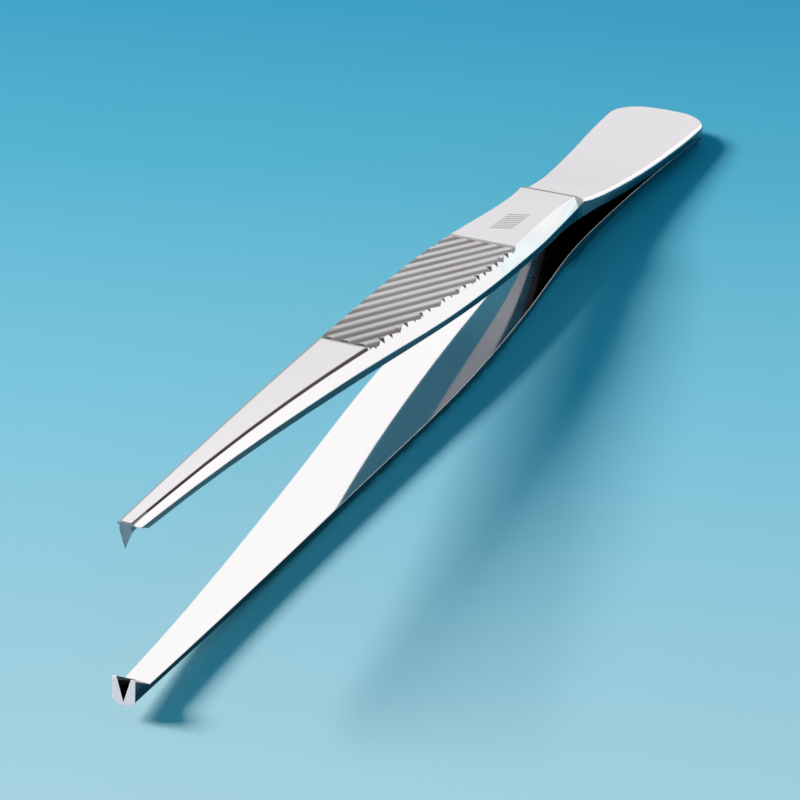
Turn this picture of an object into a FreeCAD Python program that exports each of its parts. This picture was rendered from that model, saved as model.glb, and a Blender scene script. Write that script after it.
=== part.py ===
import FreeCAD, Part
import math
import os

from FreeCAD import Placement, Rotation, Vector

# Thumb forceps for holding tissue, with one tooth that closes between two. Two forged
# limbs are welded together at the heel, and their own spring holds the tips apart.
# All sizes are in millimetres. A station is a distance from the tips along the plane
# that lies midway between the limbs. Each limb is drawn above that plane, and the lower
# one is then mirrored below it. The pair is turned a little, because it lies on the flat
# outer face of the lower limb: +X runs from the tips to the heel and +Z is up.

# Stations
LENGTH = 144.1
PANEL_START = 40.0
GRIP_FRONT = 41.0
GRIP_REAR = 76.0
SHOULDER = 97.5
SHOULDER_FOOT = 98.9
WELD_START = 128.0

# Plan: station and half width between the side walls, then the heel's rounded end
TIP_HALF_WIDTH = 1.0
SIDE_POINTS = [(15.0, 1.65), (30.0, 2.5), (42.0, 3.25), (52.0, 3.95), (62.0, 4.4), (72.0, 4.45),
               (85.0, 4.05), (SHOULDER, 3.6), (105.0, 4.0), (115.0, 4.72), (125.0, 5.4), (133.0, 5.86)]
HEEL_HALF_WIDTH = 6.0
HEEL_CORNER = [(138.7, HEEL_HALF_WIDTH), (142.3, 4.8), (143.75, 2.9)]

# Side view: station and height of the inner face over the middle plane
TIP_HALF_GAP = 6.85
INNER_POINTS = [(20.0, 6.42), (40.0, 5.3), (60.0, 4.08), (80.0, 2.82), (SHOULDER, 1.6),
                (110.0, 0.63), (120.0, 0.14)]

# Side view: the outer face is an arc at the tip, one flat panel as far as the shoulder,
# and a lower curve along the heel blade
TIP_OUTER_HEIGHT = 7.8
PANEL_START_HEIGHT = 7.22
PANEL_SLOPE = math.radians(3.05)
SHOULDER_STEP = 0.62
HEEL_OUTER_POINTS = [(104.0, 2.6), (110.0, 2.0), (120.0, 1.42), (WELD_START, 1.25)]
HEEL_END_THICKNESS = 1.05
HEEL_RIM_RADIUS = 0.45

# Side bevels: station, width across the outer face, drop down the side wall
BEVELS = [(-1.0, 0.48, 0.45), (12.0, 0.62, 0.72), (28.0, 0.78, 1.05), (45.0, 0.9, 1.3),
          (62.0, 0.95, 1.42), (80.0, 0.95, 1.5), (93.0, 0.8, 1.42), (98.0, 0.45, 1.0)]
BEVEL_END = 102.5
BEVEL_END_CLEARANCE = 0.6

# Grip: diagonal grooves between two border grooves, and nicks along both creases
GROOVE_ANGLE = math.radians(22.5)
GROOVE_PITCH = 1.46
GROOVE_WIDTH = 1.0
GROOVE_DEPTH = 0.34
BORDER_WIDTH = 0.55
BORDER_DEPTH = 0.26
CREASE_SETBACK = 0.93
NICK_COUNT = 21
NICK_WIDTH = 0.72
NICK_DEPTH = 0.2
NICK_LENGTH = 1.0
NICK_TILT = math.radians(30.0)

# Single tooth: a V ridge that stands where the tip is cut back on both sides of it
TOOTH_LENGTH = 1.7
TOOTH_HALF_WIDTH = 0.5
TOOTH_HEIGHT = 2.2
TOOTH_STRAIGHT_SIDE = 0.65
LEFT_BESIDE_TOOTH = 0.22

# Twin teeth: a wedge-backed block at the tip, parted by a V notch that takes the tooth
PRONGS_LENGTH = 2.4
PRONG_RISE = 1.45
PRONG_TOP_FALL = 0.1
NOTCH_HALF_WIDTH = 0.62
NOTCH_DEPTH = 2.2

# Room by which a cutter runs past what it cuts, and a sliver by which fused forms overlap
SPARE = 5.0
OVERLAP = 0.1


def panel_height(station):
    """Height of the panel's plane over the middle plane."""
    return PANEL_START_HEIGHT - (station - PANEL_START) * math.tan(PANEL_SLOPE)


def outer_height(station):
    """Height of the outer face ahead of the shoulder: the panel, or the arc that leaves it."""
    ahead = max(0.0, PANEL_START - station) / PANEL_START
    return panel_height(station) - (panel_height(0.0) - TIP_OUTER_HEIGHT) * ahead ** 2


def on_panel(station, across):
    return Vector(station, across, panel_height(station))


def in_plan(point, sign):
    """A plan point on the far side, or on the near side where sign is -1."""
    return Vector(point[0], sign * point[1], 0)


def in_profile(point):
    return Vector(point[0], 0, point[1])


def spline(points):
    curve = Part.BSplineCurve()
    curve.interpolate(points)
    return curve


def arc(start, middle, end):
    return Part.Arc(start, middle, end).toShape()


def line(start, end):
    return Part.LineSegment(start, end).toShape()


def face_of(edges):
    return Part.Face(Part.Wire(Part.__sortEdges__(edges)))


def polygon_face(points):
    return Part.Face(Part.makePolygon(points + points[:1]))


def side_curve(sign):
    """One long side of the plan outline, from the tip to the heel's corner."""
    points = [(0.0, TIP_HALF_WIDTH)] + SIDE_POINTS + HEEL_CORNER[:1]
    return spline([in_plan(point, sign) for point in points])


def half_width(station):
    """Half width between the side walls at a station."""
    if station <= 0.0:
        return TIP_HALF_WIDTH
    across = Part.LineSegment(Vector(station, 0, 0), Vector(station, HEEL_HALF_WIDTH + SPARE, 0))
    return side_curve(1).intersect(across)[0].Y


def plan_solid():
    """The outline seen from above, as a plate that is thicker than the limb is high."""
    far = [in_plan(point, 1) for point in HEEL_CORNER]
    near = [in_plan(point, -1) for point in HEEL_CORNER]
    edges = [line(Vector(0, -TIP_HALF_WIDTH, 0), Vector(0, TIP_HALF_WIDTH, 0)),
             side_curve(1).toShape(),
             arc(*far),
             arc(far[-1], Vector(LENGTH, 0, 0), near[-1]),
             arc(*near),
             side_curve(-1).toShape()]
    return face_of(edges).extrude(Vector(0, 0, TIP_OUTER_HEIGHT + SPARE))


def profile_solid():
    """The side view, as a block that is wider than the heel."""
    inner = [in_profile(point) for point in [(0.0, TIP_HALF_GAP)] + INNER_POINTS + [(WELD_START, 0.0)]]
    foot = Vector(SHOULDER_FOOT, 0, panel_height(SHOULDER_FOOT) - SHOULDER_STEP)
    heel_outer = [foot] + [in_profile(point) for point in HEEL_OUTER_POINTS]
    heel_outer.append(Vector(LENGTH, 0, HEEL_END_THICKNESS))
    heel_end = Vector(LENGTH, 0, 0)
    shoulder = on_panel(SHOULDER, 0)
    panel_start = on_panel(PANEL_START, 0)
    arc_middle = Vector(PANEL_START / 2, 0, outer_height(PANEL_START / 2))
    tip = Vector(0, 0, TIP_OUTER_HEIGHT)
    edges = [spline(inner).toShape(),
             line(inner[-1], heel_end),
             line(heel_end, heel_outer[-1]),
             spline(heel_outer).toShape(),
             line(foot, shoulder),
             line(shoulder, panel_start),
             arc(panel_start, arc_middle, tip),
             line(tip, inner[0])]
    reach = HEEL_HALF_WIDTH + SPARE
    face = face_of(edges)
    face.translate(Vector(0, -reach, 0))
    return face.extrude(Vector(0, 2 * reach, 0))


def heel_rim(blank):
    """The edges round the outer face of the heel blade."""
    def on_rim(box):
        return box.XMin > SHOULDER_FOOT - OVERLAP and box.ZMin > HEEL_RIM_RADIUS and box.DiagonalLength > 1.0

    return [edge for edge in blank.Edges if on_rim(edge.BoundBox)]


def bevel_cutter(sign):
    """What a side bevel takes off: a loft through sections along the side that runs out at the heel."""
    last_across, last_drop = BEVELS[-1][1:]
    end = (BEVEL_END, last_across, last_drop, BEVEL_END_CLEARANCE)
    rows = [row + (0.0,) for row in BEVELS] + [end]
    sections = []
    for station, across, drop, clearance in rows:
        side = half_width(station) + clearance
        crease = Vector(station, sign * (side - across), outer_height(station))
        lower = Vector(station, sign * side, outer_height(station) - drop)
        down = (lower - crease).normalize() * SPARE
        outward = Vector(0, sign * SPARE, SPARE)
        corners = [crease - down, lower + down, lower + down + outward, crease - down + outward]
        sections.append(Part.makePolygon(corners + corners[:1]))
    return Part.makeLoft(sections, True, False)


def v_cutter(start, end, width, depth, up):
    """A V-shaped cutter, width wide and depth deep where it meets the surface that up stands on."""
    rise = depth
    half_top = width / 2 * (depth + rise) / depth
    across = (end - start).cross(up).normalize() * half_top
    return polygon_face([start - up * depth, start + up * rise + across, start + up * rise - across]
                        ).extrude(end - start)


def grip_cutters():
    """Diagonal grooves that end at the grip's borders, and a fine groove along each border."""
    up = Vector(math.sin(PANEL_SLOPE), 0, math.cos(PANEL_SLOPE))
    length = GRIP_REAR - GRIP_FRONT
    step = GROOVE_PITCH / math.sin(GROOVE_ANGLE)
    run = HEEL_HALF_WIDTH / math.tan(GROOVE_ANGLE)
    room = Part.makeBox(length, 4 * HEEL_HALF_WIDTH, 2 * PANEL_START_HEIGHT,
                        Vector(GRIP_FRONT, -2 * HEEL_HALF_WIDTH, 0))
    grooves = []
    for number in range(int((length + 2 * run) / step)):
        middle = GRIP_FRONT - run + (number + 0.5) * step
        groove = v_cutter(on_panel(middle - run, HEEL_HALF_WIDTH), on_panel(middle + run, -HEEL_HALF_WIDTH),
                          GROOVE_WIDTH, GROOVE_DEPTH, up)
        grooves.append(groove.common(room))
    borders = [v_cutter(on_panel(station, HEEL_HALF_WIDTH), on_panel(station, -HEEL_HALF_WIDTH),
                        BORDER_WIDTH, BORDER_DEPTH, up) for station in (GRIP_FRONT, GRIP_REAR)]
    return [groove for groove in grooves if groove.Solids] + borders


def nick_cutters():
    """Small notches over the crease between the grip and each bevel."""
    spacing = (GRIP_REAR - GRIP_FRONT) / NICK_COUNT
    cutters = []
    for number in range(NICK_COUNT):
        station = GRIP_FRONT + (number + 0.5) * spacing
        for sign in (1, -1):
            crease = on_panel(station, sign * (half_width(station) - CREASE_SETBACK))
            outward = Vector(0, sign * math.cos(NICK_TILT), -math.sin(NICK_TILT)) * (NICK_LENGTH / 2)
            up = Vector(0, sign * math.sin(NICK_TILT), math.cos(NICK_TILT))
            cutters.append(v_cutter(crease - outward, crease + outward, NICK_WIDTH, NICK_DEPTH, up))
    return cutters


def limb_blank():
    """What both limbs share: the outline, the side view, the rounded heel, the bevels and the grip."""
    blank = plan_solid().common(profile_solid())
    blank = blank.makeFillet(HEEL_RIM_RADIUS, heel_rim(blank))
    return blank.cut([bevel_cutter(1), bevel_cutter(-1)]).cut(grip_cutters() + nick_cutters())


def inner_height(station):
    """Height of the inner face near the tip."""
    inner = spline([in_profile(point) for point in [(0.0, TIP_HALF_GAP)] + INNER_POINTS])
    upright = Part.LineSegment(Vector(station, 0, 0), Vector(station, 0, TIP_OUTER_HEIGHT))
    return inner.intersect(upright)[0].Z


def section(station, corners):
    """A polygon across the limb, from pairs of a distance across and a height."""
    points = [Vector(station, across, height) for across, height in corners]
    return Part.makePolygon(points + points[:1])


def one_tooth_limb(blank):
    """The limb that is cut back beside one central tooth, which runs up into its inner face."""
    back = inner_height(TOOTH_LENGTH)
    side = [(0.0, 0.0), (0.0, TIP_OUTER_HEIGHT - LEFT_BESIDE_TOOTH),
            (TOOTH_LENGTH, back), (TOOTH_LENGTH, 0.0)]
    face = polygon_face([Vector(station, -HEEL_HALF_WIDTH, height) for station, height in side])
    beside = face.extrude(Vector(0, 2 * HEEL_HALF_WIDTH, 0))
    top = TIP_OUTER_HEIGHT - OVERLAP / 2

    half = TOOTH_HALF_WIDTH

    def tooth_section(station, side_height, apex_height):
        corners = [(-half, top), (half, top), (half, side_height), (0.0, apex_height), (-half, side_height)]
        return section(station, corners)

    front = tooth_section(0.0, TIP_OUTER_HEIGHT - TOOTH_STRAIGHT_SIDE, TIP_OUTER_HEIGHT - TOOTH_HEIGHT)
    root = tooth_section(TOOTH_LENGTH, back + 2 * OVERLAP, back + OVERLAP)
    tooth = Part.makeLoft([front, root], True, True)
    return blank.cut(beside).fuse(tooth).removeSplitter()


def two_teeth_limb(blank):
    """The limb that rises in two prongs, with a V notch between them that takes the tooth."""
    back = inner_height(PRONGS_LENGTH)
    root = TIP_HALF_GAP + 2 * OVERLAP
    prong_top = TIP_HALF_GAP - PRONG_RISE

    half = half_width(PRONGS_LENGTH)

    def block_section(station, side_height, ridge_height):
        ridges = [(NOTCH_HALF_WIDTH, ridge_height), (-NOTCH_HALF_WIDTH, ridge_height)]
        corners = [(-half, root), (half, root), (half, side_height)] + ridges + [(-half, side_height)]
        return section(station, corners)

    block = Part.makeLoft([block_section(0.0, prong_top + PRONG_TOP_FALL, prong_top),
                           block_section(PRONGS_LENGTH, back + OVERLAP, back + OVERLAP / 2)], True, True)
    rise = NOTCH_DEPTH / 4
    half_top = NOTCH_HALF_WIDTH * (NOTCH_DEPTH + rise) / NOTCH_DEPTH

    def notch_section(station, apex_height):
        top = prong_top - rise
        return section(station, [(-half_top, top), (half_top, top), (0.0, apex_height)])

    notch = Part.makeLoft([notch_section(-OVERLAP, prong_top + NOTCH_DEPTH),
                           notch_section(PRONGS_LENGTH, back - OVERLAP)], True, True)
    return blank.fuse(block.common(plan_solid())).removeSplitter().cut(notch)


def laid_down(limb):
    """Turn and lift a limb so that the lower panel is level at height nought, centred along X."""
    span = LENGTH * math.cos(PANEL_SLOPE) + (HEEL_END_THICKNESS - TIP_OUTER_HEIGHT) * math.sin(PANEL_SLOPE)
    middle = span / 2
    limb.Placement = Placement(Vector(-middle, 0, panel_height(0.0) * math.cos(PANEL_SLOPE)),
                               Rotation(Vector(0, 1, 0), math.degrees(PANEL_SLOPE)))
    return limb


os.makedirs("parts", exist_ok=True)
blank = limb_blank()
lower = two_teeth_limb(blank).mirror(Vector(0, 0, 0), Vector(0, 0, 1))
limbs = {"upper_limb": one_tooth_limb(blank), "lower_limb": lower}
for name, limb in limbs.items():
    placed = laid_down(limb.Solids[0])
    print(name, "valid", placed.isValid(), "volume", round(placed.Volume, 1))
    placed.exportStep(os.path.join("parts", name + ".step"))
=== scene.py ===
import math

import bpy
from mathutils import Matrix, Vector

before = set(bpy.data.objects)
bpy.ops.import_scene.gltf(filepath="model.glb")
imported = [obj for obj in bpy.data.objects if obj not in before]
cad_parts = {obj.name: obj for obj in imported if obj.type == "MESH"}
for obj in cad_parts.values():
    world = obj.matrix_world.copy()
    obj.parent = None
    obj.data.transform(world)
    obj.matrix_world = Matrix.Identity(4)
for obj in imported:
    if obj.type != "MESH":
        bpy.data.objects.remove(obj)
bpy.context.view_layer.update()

# Thumb forceps of polished steel, lying on a pale surface in soft studio light.
# Everything is in metres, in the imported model's frame: +X runs from the tips to the heel.

# Camera, from a fit of the limbs' outlines in an 800 x 800 picture
CAMERA_PLACE = (-0.20664, -0.07351, 0.10587)
CAMERA_AZIMUTH = math.radians(-68.86)
CAMERA_ELEVATION = math.radians(26.97)
CAMERA_ROLL = math.radians(2.40)
SENSOR_WIDTH = 36.0
FOCAL_LENGTH = 2400.2 / 800.0 * SENSOR_WIDTH

# Places along X on the limbs, in millimetres
TIP_END = -71.6
TEETH_END = TIP_END + 2.6
PANEL_START = -31.4
GRIP_FRONT = -30.6
GRIP_REAR = 4.4
SHOULDER = 25.35
SHOULDER_FOOT = 26.75

# The upper limb's flat panel: its height over X = 0 and its fall for each millimetre along X.
# Ahead of the panel the outer face of either limb arches in, by this much at the tip.
PANEL_HEIGHT = 11.06
PANEL_FALL = 0.1069
TIP_CURVE = 1.56

# The crease beside a tip's bevel, by the distance from the tip: its own distance from the middle, as the
# factors of a quadratic, and the bevel's width, as those of a line. The dark line on the crease fades in and
# out at these shares of that width.
CREASE_ACROSS = (0.000478, 0.0244, 0.528)
BEVEL_WIDTH = (0.011, 0.62)
CREASE_INSIDE = (-0.24, -0.14)
CREASE_OUTSIDE = (0.07, 0.15)

# Behind the upper shoulder the face is shaded as if it swept up to the panel
SWEEP_LENGTH = 9.0
SWEEP_SLOPE = 0.16

# A patch of slanted bars: middle and half size along X and Y, slant, and distance between bars
MARK_PLACE = (12.8, -0.15)
MARK_HALF_SIZE = (3.1, 0.95)
MARK_SLANT = 0.6
MARK_PITCH = 0.78

# How far a face's normal points outward, at both ends of a soft step
OUTER_FACING = (0.93, 0.985)
INNER_FACING = (-0.90, -0.95)
UPRIGHT_FACING = (0.40, 0.25)
LAND_FACING = (0.60, 0.68)

# Depths under the panel's plane between which the grip ends and a groove turns dark, in millimetres
GRIP_DEPTH = (0.7, 0.4)
GROOVE_DEPTH = (0.02, 0.16)

# Soft steps that find the fronts of the teeth, the notch between two and the tops of the prongs
FRONT_FACING = (-0.90, -0.97)
NOTCH_ACROSS = (0.68, 0.60)
NOTCH_FACING = (0.35, 0.5)
PRONG_DEPTH = (1.0, 1.15)
PRONG_FACING = (-0.3, -0.5)

# Radii by which edges are rounded in the normal alone, in metres
UPPER_EDGE = 0.00014
LOWER_EDGE = 0.00008

# Scales of the steel's noise: fine brushing along the limb, cloudy wear and long smears
BRUSH_SCALE = (90.0, 5200.0, 5200.0)
CLOUD_SCALE = 70.0
SMEAR_SCALE = (40.0, 160.0, 160.0)
BRUSH_DEPTH = 0.00001

# Colours of the steel
POLISHED = (0.79, 0.78, 0.79, 1.0)
SATIN = (0.825, 0.80, 0.82, 1.0)
CLOUDED = (0.66, 0.65, 0.65, 1.0)
BRUSHED = (0.60, 0.60, 0.61, 1.0)
RUBBED_EDGE = (0.88, 0.88, 0.88, 1.0)
# Painted shade: the inner faces darkened, as they mirror the shade between the limbs
PAINTED_INNER_SHADE = (0.19, 0.225, 0.26, 1.0)
# Painted shade: the upright sides darkened, as they mirror the shadowed floor beside the limbs
PAINTED_SIDE_SHADE_NEAR_TIP = (0.16, 0.18, 0.20, 1.0)
PAINTED_SIDE_SHADE_NEAR_HEEL = (0.07, 0.08, 0.10, 1.0)
PAINTED_SIDE_SHADE_OF_LOWER = (0.08, 0.09, 0.11, 1.0)
GRIP_LAND = (0.42, 0.41, 0.41, 1.0)
GRIP_GROOVE = (0.15, 0.13, 0.13, 1.0)
CREASE_DARK_LINE = (0.030, 0.020, 0.017, 1.0)
# Painted shade on the front and sides of the upper tooth, on the tops of the lower prongs and in the notch
# between them; painted light, a pale pink, on the fronts of the lower prongs
PAINTED_TOOTH_FRONT_SHADE = (0.28, 0.31, 0.35, 1.0)
PAINTED_TOOTH_SIDE_SHADE = (0.16, 0.17, 0.19, 1.0)
PAINTED_PRONG_FRONT_LIGHT = (1.0, 0.84, 0.85, 1.0)
PAINTED_PRONG_TOP_SHADE = (0.16, 0.12, 0.12, 1.0)
PAINTED_NOTCH_SHADE = (0.07, 0.06, 0.06, 1.0)
MARK = (0.30, 0.30, 0.29, 1.0)
# Painted shade on the riser at the upper limb's shoulder
PAINTED_RISER_SHADE = (0.3, 0.3, 0.31, 1.0)

# Plain colours
BLACK = (0.0, 0.0, 0.0, 1.0)
WHITE = (1.0, 1.0, 1.0, 1.0)

# The floor deepens along this bearing, from the first place to the second, through these screen colours
FLOOR_BEARING = math.radians(21.2)
FLOOR_RANGE = (-0.09, 0.31)
FLOOR_STOPS = ((0.0, (209, 228, 231)), (0.19, (150, 211, 227)), (0.345, (105, 192, 214)),
               (0.5, (78, 173, 204)), (1.0, (40, 132, 176)))

# Further out than the picture reaches, the floor turns pale, and mirrored in the steel it glows
FAR_FLOOR = (255, 235, 222)
FAR_FLOOR_REACH = (0.16, 0.34)
GLOW = (0.45, 0.45, 0.45, 1.0)
GLOW_REACH = (0.20, 0.40)

# The room: strength and colour of what lights the floor, and the colour of the wall that the steel mirrors
AMBIENT = 0.34
AMBIENT_COLOUR = (0.10, 0.72, 1.0, 1.0)
WALL_COLOUR = (1.0, 0.99, 0.99, 1.0)

# The wall's brightness, which rises a little from the floor and falls off to a dark ceiling: the sines of
# two elevations, and the factors there
WALL_FOOT = (0.02, 0.30, 0.86, 0.95)
WALL_TOP = (0.60, 0.85, 1.0, 0.25)

# Softboxes: name, azimuth and elevation in degrees, distance, size, radiance where 1 shows as white,
# colour, and whether it lights the floor. The last two are only mirrored, on top of the wall behind them.
LAMPS = (("key", 112.0, 37.0, 2.0, (0.75, 0.65), 27.0, (0.99, 0.98, 0.96), True),
         ("heel_box", 22.0, 35.0, 1.0, (0.9, 0.38), 0.27, WHITE[:3], False),
         ("side_box", -22.0, 16.0, 0.5, (0.40, 0.42), 0.30, WHITE[:3], False))


def linear(red, green, blue):
    """A colour as it shows on a screen, from 0 to 255, turned into the linear value that shaders take."""
    def one(value):
        value /= 255.0
        return value / 12.92 if value <= 0.04045 else ((value + 0.055) / 1.055) ** 2.4

    return (one(red), one(green), one(blue), 1.0)


class Value:
    """A number or vector inside a shader, so that shader maths reads as plain expressions."""

    def __init__(self, shader, socket):
        self.shader, self.socket = shader, socket

    def math(self, operation, *others):
        values = {number: value for number, value in enumerate((self,) + others)}
        return self.shader.node("ShaderNodeMath", {"operation": operation}, values)

    def __add__(self, other):
        return self.math("ADD", other)

    def __sub__(self, other):
        return self.math("SUBTRACT", other)

    def __rsub__(self, other):
        return self.shader.node("ShaderNodeMath", {"operation": "SUBTRACT"}, {0: other, 1: self})

    def __mul__(self, other):
        return self.math("MULTIPLY", other)

    def __truediv__(self, other):
        return self.math("DIVIDE", other)

    def __neg__(self):
        return self * -1.0

    def __abs__(self):
        return self.math("ABSOLUTE")

    def least(self, other):
        return self.math("MINIMUM", other)

    def most(self, other):
        return self.math("MAXIMUM", other)

    __radd__, __rmul__ = __add__, __mul__


class Shader:
    """A node tree under construction, for a material or the world."""

    def __init__(self, owner):
        owner.use_nodes = True
        self.tree = owner.node_tree

    def node(self, kind, settings=None, inputs=None, output=0):
        made = self.tree.nodes.new(kind)
        for name, setting in (settings or {}).items():
            if name == "stops":
                self.set_stops(made.color_ramp, setting)
            else:
                setattr(made, name, setting)
        for name, value in (inputs or {}).items():
            self.feed(made.inputs[name], value)
        return Value(self, made.outputs[output])

    def set_stops(self, ramp, stops):
        while len(ramp.elements) < len(stops):
            ramp.elements.new(1.0)
        for element, (place, colour) in zip(ramp.elements, stops):
            element.position, element.color = place, colour

    def feed(self, socket, value):
        if isinstance(value, Value):
            self.tree.links.new(value.socket, socket)
        else:
            socket.default_value = value

    def coordinates(self, kind):
        """Texture coordinates of a kind, and their three parts."""
        whole = self.node("ShaderNodeTexCoord", output=kind)
        return whole, [self.node("ShaderNodeSeparateXYZ", inputs={0: whole}, output=axis) for axis in "XYZ"]

    def step(self, value, low, high, start=0.0, end=1.0):
        """A smooth step from start to end while value goes from low to high."""
        return self.node("ShaderNodeMapRange", {"interpolation_type": "SMOOTHSTEP"},
                         {"Value": value, "From Min": low, "From Max": high, "To Min": start, "To Max": end})

    def noise(self, vector, scale, detail):
        return self.node("ShaderNodeTexNoise", inputs={"Vector": vector, "Scale": scale, "Detail": detail})

    def stretched(self, vector, scale):
        return self.node("ShaderNodeMapping", inputs={"Vector": vector, "Scale": scale})

    def rounded(self, radius):
        """The normal as it would be if every edge had this radius."""
        return self.node("ShaderNodeBevel", {"samples": 6}, {"Radius": radius})

    def bump(self, height, strength, distance, normal):
        return self.node("ShaderNodeBump", inputs={"Height": height, "Strength": strength,
                                                   "Distance": distance, "Normal": normal})

    def alignment(self, first, second):
        return self.node("ShaderNodeVectorMath", {"operation": "DOT_PRODUCT"}, {0: first, 1: second},
                         output="Value")

    def length(self, vector):
        return self.node("ShaderNodeVectorMath", {"operation": "LENGTH"}, {0: vector}, output="Value")

    def seen(self):
        """One for what the camera sees, straight or mirrored, and zero for what lights the floor."""
        camera, mirrored, bounces = [self.node("ShaderNodeLightPath", output=name) for name in
                                     ("Is Camera Ray", "Is Glossy Ray", "Diffuse Depth")]
        return camera.most(mirrored) * (1.0 - bounces).most(0.0)

    def blend(self, factor, first, second):
        """A colour between two colours."""
        return self.node("ShaderNodeMix", {"data_type": "RGBA"}, {"Factor": factor, 6: first, 7: second},
                         output=2)

    def between_vectors(self, factor, first, second):
        return self.node("ShaderNodeMix", {"data_type": "VECTOR"}, {"Factor": factor, 4: first, 5: second},
                         output=1)


def principled(name, steady):
    """A material whose constant values are set on its own sockets."""
    material = bpy.data.materials.new(name)
    shader = Shader(material)
    surface = shader.tree.nodes["Principled BSDF"]
    for socket, value in steady.items():
        surface.inputs[socket].default_value = value
    return material, shader, surface


class Limb:
    """Where a point of a limb lies, in millimetres, and masks for the limb's faces, edges and wear."""

    def __init__(self, shader, upper):
        self.shader, self.upper = shader, upper
        self.spot, (x, y, z) = shader.coordinates("Object")
        self.flat, (self.endways, sideways, upward) = shader.coordinates("Normal")
        self.along, self.across = x * 1000.0, y * 1000.0
        self.sideways = abs(sideways)
        self.facing = upward if upper else -upward
        plane = PANEL_HEIGHT - self.along * PANEL_FALL - z * 1000.0 if upper else z * 1000.0
        ahead = ((PANEL_START - self.along) / (PANEL_START - TIP_END)).most(0.0)
        self.inward = plane - ahead * ahead * TIP_CURVE
        self.mask_faces()
        self.mask_edges()
        self.brushed = shader.noise(shader.stretched(self.spot, BRUSH_SCALE), 1.0, 2.0)
        self.clouds = shader.noise(self.spot, CLOUD_SCALE, 4.0)
        self.smears = shader.noise(shader.stretched(self.spot, SMEAR_SCALE), 1.0, 3.0)

    def mask_faces(self):
        step = self.shader.step
        self.outer = step(self.facing, *OUTER_FACING)
        self.inner = step(self.facing, *INNER_FACING)
        self.upright = step(abs(self.facing), *UPRIGHT_FACING)
        grip = self.between(self.along, GRIP_FRONT - 0.4, GRIP_REAR + 0.4, 0.1)
        grip = grip * step(self.inward, *GRIP_DEPTH)
        self.grip = grip * step(self.facing, *LAND_FACING)
        self.groove = self.grip * step(self.inward, *GROOVE_DEPTH)
        self.teeth = step(self.along, TEETH_END, TEETH_END - 0.3)
        self.front = self.teeth * step(self.endways, *FRONT_FACING)
        self.notch = (self.teeth * step(abs(self.across), *NOTCH_ACROSS)
                      * step(self.sideways, *NOTCH_FACING))

    def mask_edges(self):
        """Every edge softly rounded in the normal, though not at the foot of the shoulder."""
        self.rounded = self.shader.rounded(UPPER_EDGE if self.upper else LOWER_EDGE)
        if self.upper:
            foot = self.between(self.along, SHOULDER + 0.4, SHOULDER_FOOT + 0.8, 0.2)
            self.rounded = self.shader.between_vectors(foot, self.rounded, self.flat)
        self.edge = self.shader.step(self.shader.alignment(self.rounded, self.flat), 0.995, 0.965)

    def between(self, value, low, high, soft):
        """One where value lies between low and high, with edges of the width soft."""
        step = self.shader.step
        return step(value, low - soft, low) * step(value, high + soft, high)


def crease_dark_line(limb):
    """A dark line along the creases of the tip, fainter on the far side, and a dark band across its end."""
    step = limb.shader.step
    from_tip = limb.along - TIP_END
    square, slope, start = CREASE_ACROSS
    beyond = abs(limb.across) - (from_tip * from_tip * square + from_tip * slope + start)
    beyond = beyond / (from_tip * BEVEL_WIDTH[0] + BEVEL_WIDTH[1])
    ahead_of_grip = step(limb.along, PANEL_START + 0.7, PANEL_START + 0.3) * step(limb.facing, 0.1, 0.25)
    crease = ahead_of_grip * step(beyond, *CREASE_INSIDE) * step(beyond, *CREASE_OUTSIDE, 1.0, 0.0)
    crease = crease * step(limb.across, -0.3, 0.3, 1.0, 0.5)
    end = step(limb.along, TIP_END + 0.42, TIP_END + 0.30) * step(limb.facing, 0.3, 0.5)
    return crease.most(end * 0.8) * (0.85 + limb.smears * 0.4)


def etched(limb):
    """A small patch of short slanted bars on the plain panel, where such forceps carry a mark."""
    along, across = limb.along - MARK_PLACE[0], limb.across - MARK_PLACE[1]
    slanted = along + across * MARK_SLANT
    patch = (limb.between(across, -MARK_HALF_SIZE[1], MARK_HALF_SIZE[1], 0.15)
             * limb.between(slanted, -MARK_HALF_SIZE[0], MARK_HALF_SIZE[0], 0.1))
    bars = (slanted * (2.0 * math.pi / MARK_PITCH)).math("SINE")
    return patch * limb.shader.step(bars, -0.3, 0.3) * limb.outer * 0.9


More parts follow.
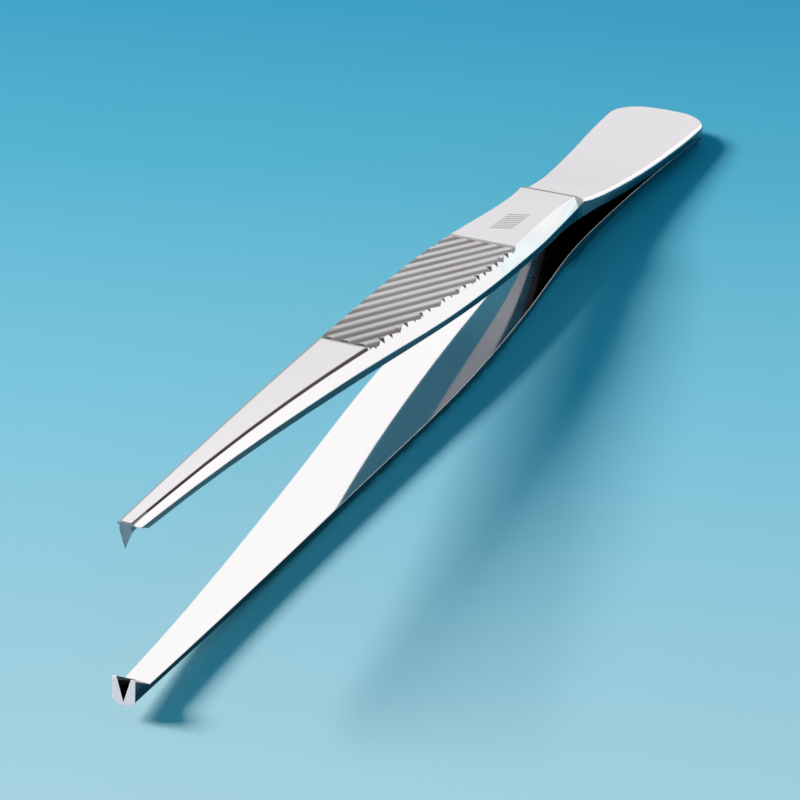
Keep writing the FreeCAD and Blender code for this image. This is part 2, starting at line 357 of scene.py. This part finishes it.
def steel_colour(limb):
    """Layers of colour, each laid over those before it as far as its mask says."""
    step, along, upper = limb.shader.step, limb.along, limb.upper
    # Painted shade: how far the inner faces are darkened along each limb, and the painted shade of its
    # upright sides
    if upper:
        inner_shade = step(along, 5.0, 20.0, 0.88, 0.62)
        side = limb.shader.blend(step(along, -25.0, 10.0), PAINTED_SIDE_SHADE_NEAR_TIP, PAINTED_SIDE_SHADE_NEAR_HEEL)
    else:
        inner_shade = step(along, 8.0, 30.0, 0.0, 0.35)
        side = PAINTED_SIDE_SHADE_OF_LOWER
    worn = step(along, -34.0, -12.0) * step(along, -10.0, 14.0, 1.0, 0.4)
    layers = [(limb.outer, SATIN),
              (limb.clouds * 0.16, CLOUDED),
              (limb.brushed * limb.outer * 0.10, BRUSHED),
              (limb.edge * 0.5, RUBBED_EDGE),
              # Painted shade on the inner faces
              (limb.inner * inner_shade, PAINTED_INNER_SHADE),
              # Painted shade on the upright sides
              (limb.upright * 0.95, side),
              (limb.grip * (0.92 - worn * 0.30 - limb.smears * 0.1), GRIP_LAND),
              (limb.groove * (0.36 + limb.clouds * 0.7), GRIP_GROOVE),
              (crease_dark_line(limb), CREASE_DARK_LINE),
              # Painted shade on the upper tooth's front and sides and in the lower notch; painted light on
              # the lower prongs' fronts
              (limb.front, PAINTED_TOOTH_FRONT_SHADE if upper else PAINTED_PRONG_FRONT_LIGHT),
              (limb.notch, PAINTED_TOOTH_SIDE_SHADE if upper else PAINTED_NOTCH_SHADE)]
    if upper:
        layers += [(etched(limb), MARK),
                   # Painted shade on the shoulder's riser
                   (limb.between(along, SHOULDER, SHOULDER_FOOT, 0.05), PAINTED_RISER_SHADE)]
    else:
        # Painted shade on the tops of the lower prongs
        prong_top = limb.teeth * step(limb.inward, *PRONG_DEPTH) * step(limb.facing, *PRONG_FACING)
        layers.append((prong_top, PAINTED_PRONG_TOP_SHADE))
    colour = POLISHED
    for mask, tint in layers:
        colour = limb.shader.blend(mask, colour, tint)
    return colour


def steel_roughness(limb):
    """A mirror with faint smears, satin on the outer face, dull in the grooves and on the teeth."""
    rough = (0.035 + limb.smears * 0.03 + limb.outer * (0.17 + limb.brushed * 0.10 + limb.clouds * 0.06)
             + limb.groove * 0.25 + limb.front * (0.3 if limb.upper else 0.55))
    if limb.upper:
        behind_shoulder = limb.outer * limb.between(limb.along, SHOULDER, SHOULDER_FOOT + 2.0, 5.0)
        rear_border = limb.grip * limb.shader.step(limb.along, GRIP_REAR - 0.1, GRIP_REAR)
        rough = rough + behind_shoulder * 0.2 + rear_border * 0.4
    return rough - limb.edge * limb.outer * 0.08


def steel_normal(limb):
    """Rounded edges, the sweep behind the upper shoulder, and fine brushing on the outer face."""
    normal = limb.rounded
    if limb.upper:
        sweep = (SHOULDER_FOOT + SWEEP_LENGTH - limb.along).most(0.0).least(SWEEP_LENGTH)
        height = sweep * sweep * (-0.5 * SWEEP_SLOPE / SWEEP_LENGTH)
        normal = limb.shader.bump(height, 1.0, 0.001, normal)
    return limb.shader.bump(limb.brushed * limb.outer, 0.25, BRUSH_DEPTH, normal)


def limb_steel(name, upper):
    """Polished steel with a satin outer face, dull grooves, dark lines along the tip's creases, and painted
    shade and painted light on some faces.
    """
    material, shader, surface = principled(name, {"Metallic": 1.0})
    limb = Limb(shader, upper)
    shader.feed(surface.inputs["Base Color"], steel_colour(limb))
    shader.feed(surface.inputs["Roughness"], steel_roughness(limb))
    shader.feed(surface.inputs["Normal"], steel_normal(limb))
    return material


def pale_floor():
    """A pale blue surface that deepens away from the tips."""
    material, shader, surface = principled("floor", {"Roughness": 0.9, "Specular IOR Level": 0.0,
                                                      "Emission Strength": 1.0})
    spot, (x, y, z) = shader.coordinates("Object")
    along = x * math.cos(FLOOR_BEARING) + y * math.sin(FLOOR_BEARING)
    depth = shader.node("ShaderNodeMapRange", inputs={"Value": along, "From Min": FLOOR_RANGE[0],
                                                      "From Max": FLOOR_RANGE[1]})
    stops = [(place, linear(*shown)) for place, shown in FLOOR_STOPS]
    colour = shader.node("ShaderNodeValToRGB", {"stops": stops}, {0: depth})
    reach = shader.length(spot)
    colour = shader.blend(shader.step(reach, *FAR_FLOOR_REACH), colour, linear(*FAR_FLOOR))
    grain = shader.noise(spot, 900.0, 2.0)
    shader.feed(surface.inputs["Base Color"], shader.blend(grain * 0.01, colour, WHITE))
    glow = shader.seen() * shader.step(reach, *GLOW_REACH)
    shader.feed(surface.inputs["Emission Color"], shader.blend(glow, BLACK, GLOW))
    return material


def add_floor():
    bpy.ops.mesh.primitive_plane_add(size=4.0)
    floor = bpy.context.object
    floor.name = "floor"
    floor.data.materials.append(pale_floor())


def studio():
    """The room: dim for what it lights, and in the steel a bright wall under a dark ceiling."""
    world = bpy.data.worlds.new("studio")
    bpy.context.scene.world = world
    shader = Shader(world)
    height = shader.coordinates("Generated")[1][2]
    wall = shader.step(height, *WALL_FOOT) * shader.step(height, *WALL_TOP)
    seen = shader.seen()
    background = shader.tree.nodes["Background"]
    shader.feed(background.inputs["Color"], shader.blend(seen, AMBIENT_COLOUR, WALL_COLOUR))
    shader.feed(background.inputs["Strength"], seen * wall + (1.0 - seen) * AMBIENT)


def add_lamp(name, azimuth, elevation, distance, size, radiance, colour, lights_floor):
    lamp = bpy.data.lights.new(name, "AREA")
    lamp.shape, lamp.size, lamp.size_y = "RECTANGLE", size[0], size[1]
    lamp.energy, lamp.color = radiance * math.pi * size[0] * size[1], colour
    holder = bpy.data.objects.new(name, lamp)
    bpy.context.collection.objects.link(holder)
    azimuth, elevation = math.radians(azimuth), math.radians(elevation)
    bearing = Vector((math.cos(elevation) * math.cos(azimuth), math.cos(elevation) * math.sin(azimuth),
                      math.sin(elevation)))
    holder.location = bearing * distance
    holder.rotation_euler = bearing.to_track_quat("Z", "Y").to_euler()
    holder.visible_camera = False
    holder.visible_diffuse = lights_floor


def add_camera():
    lens = bpy.data.cameras.new("camera")
    lens.sensor_width, lens.lens = SENSOR_WIDTH, FOCAL_LENGTH
    camera = bpy.data.objects.new("camera", lens)
    bpy.context.collection.objects.link(camera)
    camera.matrix_world = (Matrix.Translation(CAMERA_PLACE) @ Matrix.Rotation(CAMERA_AZIMUTH, 4, "Z")
                           @ Matrix.Rotation(math.radians(90.0) - CAMERA_ELEVATION, 4, "X")
                           @ Matrix.Rotation(CAMERA_ROLL, 4, "Z"))
    bpy.context.scene.camera = camera


bpy.context.scene.view_settings.view_transform = "Standard"
bpy.ops.object.select_all(action="DESELECT")
add_camera()
add_floor()
studio()
for lamp in LAMPS:
    add_lamp(*lamp)

for node, upper in (("upper_limb", True), ("lower_limb", False)):
    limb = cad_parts[node]
    steel = limb_steel(node + "_steel", upper)
    for slot in limb.material_slots:
        slot.material = steel
